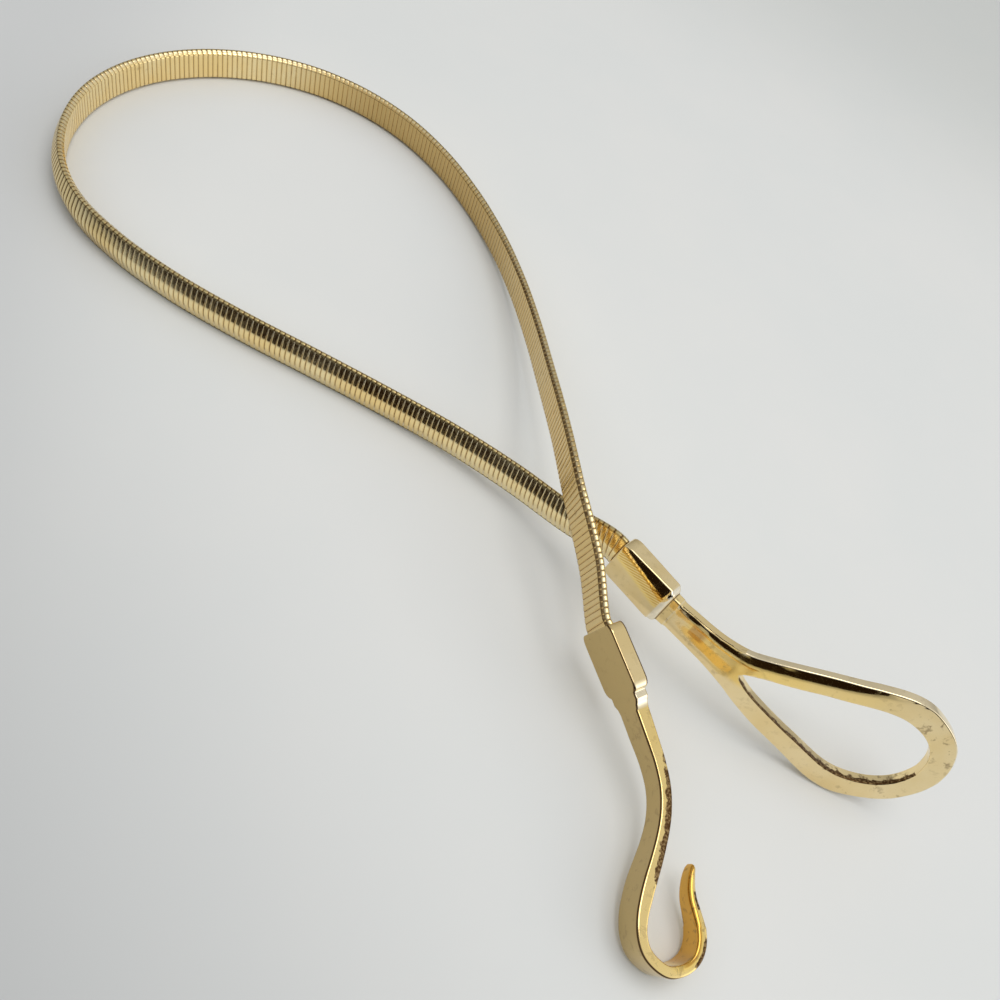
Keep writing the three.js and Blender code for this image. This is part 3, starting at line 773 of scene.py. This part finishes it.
def build_loop(material):
    place = loop_frames()
    T = EYE_THICK / 2
    R = 0.36
    verts, faces, amber_tint_and_reflection, painted_highlight, dark_blot_reflection, lines, dark_patch_reflection, ribs = [], [], [], [], [], [], [], []

    def web(s, h):
        """Depth of the spoon-shaped hollow in the front of the shank and fork."""
        a = 0.26 * np.exp(-((s - 31.5) / 5.5) ** 2) * np.exp(-((h - 0.9) / 2.3) ** 2)
        b = 0.20 * np.exp(-((s - 40.2) / 4.2) ** 2) * np.exp(-((h - 0.6) / 2.8) ** 2)
        return a + b

    def push(local, w, e, d, ln=0.0, mo=0.0, rb=0.0):
        base = len(verts)
        verts.extend(place(np.asarray(local, float)))
        n = len(local)
        amber_tint_and_reflection.extend(np.broadcast_to(w, n))
        painted_highlight.extend(np.broadcast_to(e, n))
        dark_blot_reflection.extend(np.broadcast_to(d, n))
        lines.extend(np.broadcast_to(ln, n))
        dark_patch_reflection.extend(np.broadcast_to(mo, n))
        ribs.extend(np.broadcast_to(rb, n))
        return base

    rings, info = [], []
    box_rows = [r for r in FERRULE_ROWS if r[0] < 2.5 or r[0] == 5.4]
    box_rows += [(float(x), -2.70, 2.70, 7.0, 0.37) for x in np.arange(2.5, 16.5, 0.32)]
    for i, (x, y0, y1, hz, r) in enumerate(box_rows):
        grow = np.clip((x - 0.75) / 16.0, 0, 1)
        roll = 0.0 if i < 6 else 0.50 + 1.05 * grow
        y0, y1 = deepen(y0, LOOP_THICK), deepen(y1, LOOP_THICK)
        rings.append(ring_points(x * 1.09 - 0.8 if x < 9.0 and i else x, hz, y0, y1, r, crown=(float(roll), 1.2 + 2.6 * grow, 1.25)))
        # painted reflection of the band across the ferrule's front: an amber strip with rib streaks
        amber = np.zeros(RING)
        if i and x > 0.5:
            h = rings[-1][:COLS + 1, 2] + 0.7 * grow
            amber[:COLS + 1] = smooth((h - 0.6 + 1.6 * grow) / 1.7) * (1 - smooth((h - 4.6) / 1.0))
        info.append((0.92 * amber, 0.0, 0.1, 0.0, amber))
    # rounded end rim, then the narrower collar
    for x, y, hz, r, roll, w, e in [
            (16.8, 3.05, 7.0, 0.40, 1.55, 0, 0), (17.3, 3.05, 6.99, 0.48, 1.5, 0, 0.1), (17.7, 3.0, 6.92, 0.60, 0.9, 0, 0.7),
            (18.35, 2.82, 6.70, 0.72, 0.5, 0, 0.7), (18.75, 2.58, 6.45, 0.75, 0.4, 0, 0.7), (19.05, 2.28, 6.14, 0.7, 0.35, 0, 0.5),
            (19.2, 1.98, 5.80, 0.6, 0.3, 0.1, 0.2), (19.3, 1.88, 5.56, 0.5, 0.3, 0.2, 0), (19.8, 1.84, 5.44, 0.45, 0.3, 0.2, 0),
            (21.4, 1.84, 5.34, 0.42, 0.35, 0.2, 0), (21.75, 1.80, 5.20, 0.40, 0.4, 0.2, 0.3), (22.2, 1.72, 5.06, 0.38, 0.42, 0.2, 0)]:
        rings.append(ring_points(x, hz, -y, y, r, crown=(roll, 3.8, 1.25) if x < 17.5 else (roll, 2.6)))
        if x < 17.5:
            w = 0.92 * amber
        # painted highlight on the end rim, painted shade in the ring between rim and collar
        info.append((w, e, 0.35 if x > 19.1 else 0.1, 0.75 if 19.1 < x < 19.5 else 0.0, amber if x < 17.5 else 0.0))
    outer, onrm = outline(EYE_OUTER, (None, (110.02, 0.0)))
    onrm[-1] = (1.0, 0.0)
    inset_line = (outer - onrm * R)[::6]

    def roll_depth(s, h):
        """How far the front has rolled back at the outer edge: most over the upper arm."""
        up = 0.62 + 0.32 * smooth((s - 28) / 22) - 0.70 * smooth((s - 62) / 26)
        low = 0.42 - 0.22 * smooth((s - 60) / 30)
        k = smooth((h + 2.5) / 5.0)
        return low * (1 - k) + up * k

    def front_at(s, h):
        d = np.min(np.hypot(s.ravel()[:, None] - inset_line[None, :, 0],
                            np.abs(h.ravel())[:, None] - inset_line[None, :, 1]), axis=1).reshape(s.shape)
        wide = 2.6 + 1.1 * smooth((s - 34) / 24)
        return -T + roll_depth(s, h) * np.clip(1 - d / wide, 0, 1) ** 2

    CUT = 43.0
    stations = np.concatenate([np.linspace(22.6, 31, 7), np.linspace(32.2, CUT, 10)])
    for s in stations:
        q = int(np.argmin(np.abs(outer[:, 0] - s)))
        if s == CUT:
            cut_q = q
        hz, nr = np.interp(s, outer[:, 0][:600], outer[:, 1][:600]), onrm[q]
        if s == CUT:
            s, hz = outer[q]
        ring = ring_points(s, hz, -T, T, R, nr)
        front = slice(0, COLS + 1)
        e = smooth(np.minimum(np.arange(COLS + 1), COLS - np.arange(COLS + 1)) / 2.5)
        ring[front, 1] = front_at(ring[front, 0], ring[front, 2]) + web(ring[front, 0], ring[front, 2]) * e
        edge = np.concatenate([np.arange(COLS + 1, COLS + 1 + len(ARC)), np.arange(RING - len(ARC), RING)])
        ring[edge, 1] += roll_depth(ring[edge, 0], ring[edge, 2])
        rings.append(ring)
        f = smooth((s - 25.5) / 3.0)
        # painted reflection: amber of the gold band on the concave shank and the fork
        w = np.full(RING, 0.25)
        far = 2.6 * smooth((s - 32) / 9)
        w[front] = 0.12 + 0.88 * f * smooth((ring[front, 2] + 2.2 + far) / 2.0) * (1 - smooth((ring[front, 2] - 3.4 - far) / 1.2))
        w[front] *= 1 - 0.22 * smooth((s - 31.5) / 2.5)
        info.append((w, 0.1, 0.25, 0.0, 0.0))
    for ring, (w, e, d, ln, rb) in zip(rings, info):
        push(ring, w, e, d, ln, 0.0, rb)
    faces += loft(rings)
    cut_ring = rings[-1]

    # socket floor
    c = rings[0].mean(axis=0)
    m = push([c], 0.3, 0.0, 0.3)
    faces += [(j, (j + 1) % RING, m) for j in range(RING)]

    # the eye: radial grid between the hole's outline and the outer outline
    hole, hnrm = outline(EYE_HOLE, ((46.15, 0.0), (103.25, 0.0)))
    hnrm[0], hnrm[-1] = (-1.0, 0.0), (1.0, 0.0)
    ho = arc(hole)
    oo_pts, oo_nrm = outer[cut_q:], onrm[cut_q:]
    oo = arc(oo_pts)
    M = 76
    v = np.linspace(0, 1, M + 1)
    u0 = 0.075
    upper_outer = at(v * oo[-1], oo, oo_pts)
    upper_onrm = at(v * oo[-1], oo, oo_nrm)
    upper_onrm /= np.linalg.norm(upper_onrm, axis=1, keepdims=True)
    upper_outer[0], upper_onrm[0] = outer[cut_q], onrm[cut_q]
    upper_outer[-1] = (110.02, 0.0); upper_onrm[-1] = (1.0, 0.0)
    hu = u0 + (1 - u0) * v
    upper_hole = at(hu * ho[-1], ho, hole)
    upper_hnrm = at(hu * ho[-1], ho, hnrm)
    # columns: cut line from the bottom to the top, then over the top round to the bottom
    cut_k = np.linspace(-1, 1, COLS + 1)
    cut_h = at(np.abs(cut_k) * u0 * ho[-1], ho, hole)
    cut_hn = at(np.abs(cut_k) * u0 * ho[-1], ho, hnrm)
    sg = np.sign(cut_k)
    cut_h = np.c_[cut_h[:, 0], cut_h[:, 1] * sg]
    cut_hn = np.c_[cut_hn[:, 0], cut_hn[:, 1] * sg]
    mir = np.array([1.0, -1.0])
    cols_hole = np.vstack([cut_h, upper_hole[1:], (upper_hole[1:-1] * mir)[::-1]])
    cols_hn = np.vstack([cut_hn, upper_hnrm[1:], (upper_hnrm[1:-1] * mir)[::-1]])
    cols_hn /= np.linalg.norm(cols_hn, axis=1, keepdims=True)
    cols_outer = np.vstack([np.zeros((COLS + 1, 2)), upper_outer[1:], (upper_outer[1:-1] * mir)[::-1]])
    cols_on = np.vstack([np.zeros((COLS + 1, 2)), upper_onrm[1:], (upper_onrm[1:-1] * mir)[::-1]])
    NC = len(cols_hole)
    is_cut = np.arange(NC) <= COLS
    Q = 9
    hole_in = cols_hole + cols_hn * R
    outer_in = cols_outer - cols_on * R
    outer_in[:COLS + 1] = cut_ring[:COLS + 1][:, [0, 2]]
    share = np.linspace(0, 1, Q + 1)
    share = share + 0.04 * np.sin(2 * np.pi * share) * -1
    grid = hole_in[:, None, :] * (1 - share)[None, :, None] + outer_in[:, None, :] * share[None, :, None]

    def edge_factor():
        q = np.arange(Q + 1)
        inner = smooth(q / 2.5)[None, :]
        rim = smooth((Q - q) / 2.5)[None, :]
        k = np.arange(COLS + 1)
        e = smooth(np.minimum(k, COLS - k) / 2.5)
        f = np.empty((NC, Q + 1))
        f[is_cut] = inner * np.maximum(e[:, None], rim)
        f[~is_cut] = inner * rim
        return f

    fac = edge_factor()
    front = front_at(grid[..., 0], grid[..., 1]) + web(grid[..., 0], grid[..., 1]) * fac
    S, H = grid[..., 0], grid[..., 1]
    # painted reflection: amber of the gold band on the fork and upper arm, dark blots towards the tip
    fw = (0.95 * np.exp(-((S - 46) / 11.0) ** 2) * smooth((H + 4.2) / 3.0)
          + 0.42 * smooth((H - 2) / 6.0) * smooth((S - 50) / 10) * (1 - smooth((S - 72) / 14)))
    fw = np.clip(fw + 0.06, 0, 0.80)
    fd = 0.12 + 0.5 * smooth((S - 86) / 10) * smooth((H - 3) / 6) + 0.35 * smooth((S - 88) / 8) * smooth((-H - 8) / 4)
    b_front = push(np.c_[S.ravel(), front.ravel(), H.ravel()], fw.ravel(), 0.05, fd.ravel())
    b_back = push(np.c_[S.ravel(), np.full(S.size, T), H.ravel()], 0.2, 0.05, 0.3)
    W = Q + 1
    for cidx in range(NC):
        d = (cidx + 1) % NC
        for q in range(Q):
            faces.append((b_front + cidx * W + q, b_front + d * W + q, b_front + d * W + q + 1, b_front + cidx * W + q + 1))
            faces.append((b_back + cidx * W + q, b_back + cidx * W + q + 1, b_back + d * W + q + 1, b_back + d * W + q))
    prof = [(-T + R * (1 - math.cos(math.radians(a))), R * (1 - math.sin(math.radians(a)))) for a in (0,) + ARC]
    prof += [(-T + R + 0.9, 0.0)]
    prof += [(T - R * (1 - math.cos(math.radians(a))), R * (1 - math.sin(math.radians(a)))) for a in ARC[::-1] + (0,)]
    P = len(prof)
    rim = []
    shift = front[:, 0] + T
    for n, inset in prof:
        q = cols_hole + cols_hn * inset
        rim.append(np.c_[q[:, 0], n + (shift if n < 0 else 0.0 * shift), q[:, 1]])
    rim = np.stack(rim, 1).reshape(-1, 3)
    # painted dark reflection on the hole's inner wall: strongest at its front edge, and low down towards the tip
    low = smooth((-rim[:, 2] - 4) / 4) * smooth((rim[:, 0] - 74) / 10)
    reach = np.tile([0.5, 1.0, 1.0, 1.0, 0.62] + [0.0] * (P - 5), NC)
    b_rim = push(rim, 0.30, 0.15, 0.2 + 0.6 * low, 0.0, reach * (0.92 + 0.25 * low) * smooth((0.5 - rim[:, 2]) / 1.5))
    for cidx in range(NC):
        d = (cidx + 1) % NC
        for q in range(P - 1):
            faces.append((b_rim + cidx * P + q, b_rim + cidx * P + q + 1, b_rim + d * P + q + 1, b_rim + d * P + q))
    # outer rim, open along the cut where the shank comes in
    o_ids = list(range(COLS + 1, NC))
    top0 = (upper_outer[0], upper_onrm[0])
    bot0 = (upper_outer[0] * mir, upper_onrm[0] * mir)
    run_p = np.vstack([top0[0], cols_outer[o_ids], bot0[0]])
    run_n = np.vstack([top0[1], cols_on[o_ids], bot0[1]])
    rim = []
    for n, inset in prof:
        q = run_p - run_n * inset
        back = roll_depth(q[:, 0], q[:, 1]) * (1.0 if n < 0 else 0.0)
        rim.append(np.c_[q[:, 0], n + back, q[:, 1]])
    rim = np.stack(rim, 1)
    K = rim.shape[0]
    b_out = push(rim.reshape(-1, 3), 0.1, 0.35, 0.15)
    for a in range(K - 1):
        for q in range(P - 1):
            faces.append((b_out + a * P + q, b_out + (a + 1) * P + q, b_out + (a + 1) * P + q + 1, b_out + a * P + q + 1))
    return make_object("loop_clasp_cast", verts, faces,
                       {"amber_tint_and_reflection": amber_tint_and_reflection, "painted_highlight": painted_highlight, "dark_blot_reflection": dark_blot_reflection, "shade": np.zeros(len(verts)), "line": lines,
                        "dark_patch_reflection": dark_patch_reflection, "ribs": ribs},
                       "loop_clasp", material, weld=True, flat_bias=True)


coil = coil_material()
cast = cast_material()
build_band(coil)
build_hook(cast)
build_loop(cast)


# ---------------------------------------------------------------- table, light and surroundings
def make_floor():
    data = bpy.data.meshes.new("table")
    r = 3.0
    n = 12
    g = np.linspace(-r, r, n + 1)
    verts = [(x, y, 0.0) for y in g for x in g]
    faces = [(j * (n + 1) + i, j * (n + 1) + i + 1, (j + 1) * (n + 1) + i + 1, (j + 1) * (n + 1) + i)
             for j in range(n) for i in range(n)]
    data.from_pydata(verts, [], faces)
    data.materials.append(floor_material())
    obj = bpy.data.objects.new("table", data)
    bpy.context.scene.collection.objects.link(obj)


def make_light(name, azimuth, elevation, distance, size, power, colour, target=(0.0, 0.0, 0.0)):
    a, e = math.radians(azimuth), math.radians(elevation)
    d = Vector((math.cos(a) * math.cos(e), math.sin(a) * math.cos(e), math.sin(e)))
    data = bpy.data.lights.new(name, "AREA")
    data.shape = "RECTANGLE"
    data.size, data.size_y = size
    data.energy = power
    data.color = colour
    obj = bpy.data.objects.new(name, data)
    obj.location = Vector(target) + d * distance
    obj.rotation_euler = d.to_track_quat("Z", "Y").to_euler()
    bpy.context.scene.collection.objects.link(obj)
    return obj


def make_world():
    world = bpy.data.worlds.new("studio")
    bpy.context.scene.world = world
    world.use_nodes = True
    nt = world.node_tree
    nt.nodes.clear()
    N = Net(nt)
    out = N.node("ShaderNodeOutputWorld")
    back = N.node("ShaderNodeBackground")
    N.link(back.outputs[0], out.inputs[0])
    direction = N.node("ShaderNodeTexCoord").outputs["Generated"]
    sep = N.node("ShaderNodeSeparateXYZ")
    N.link(direction, sep.inputs[0])
    x, y, z = sep.outputs
    # dark low down on the near side, soft pale ceiling above, a soft glow where the window is
    near = N.span(N.math("ADD", N.math("MULTIPLY", y, -0.96), N.math("MULTIPLY", x, -0.28)), -0.30, 0.30)
    up_near = N.span(z, 0.34, 0.56)
    up_far = N.span(z, -0.05, 0.60)
    side = N.mix(up_far, (0.46, 0.46, 0.455), (0.76, 0.77, 0.77))
    side = N.mix(N.span(x, -0.25, 0.50, 0.42, 0.0), side, (0.30, 0.29, 0.265))
    front = N.mix(up_near, (0.016, 0.009, 0.005), (0.74, 0.75, 0.75))
    colour = N.mix(near, side, front)
    a, e = math.radians(5), math.radians(14)
    dot = N.node("ShaderNodeVectorMath", operation="DOT_PRODUCT")
    N.link(direction, dot.inputs[0])
    dot.inputs[1].default_value = (math.cos(a) * math.cos(e), math.sin(a) * math.cos(e), math.sin(e))
    glow = N.math("POWER", N.math("MAXIMUM", dot.outputs["Value"], 0.0), 16.0)
    colour = N.mix(1.0, colour, N.mix(glow, (0.0, 0.0, 0.0), (1.5, 1.48, 1.42)), "ADD")
    N.link(colour, back.inputs["Color"])
    back.inputs["Strength"].default_value = 0.90


make_floor()
make_world()
make_light("softbox", 25, 80, 1.1, (0.76, 0.76), 4.4, (1.0, 0.99, 0.97))

bpy.context.scene.view_settings.view_transform = "Standard"
bpy.context.scene.view_settings.look = "None"
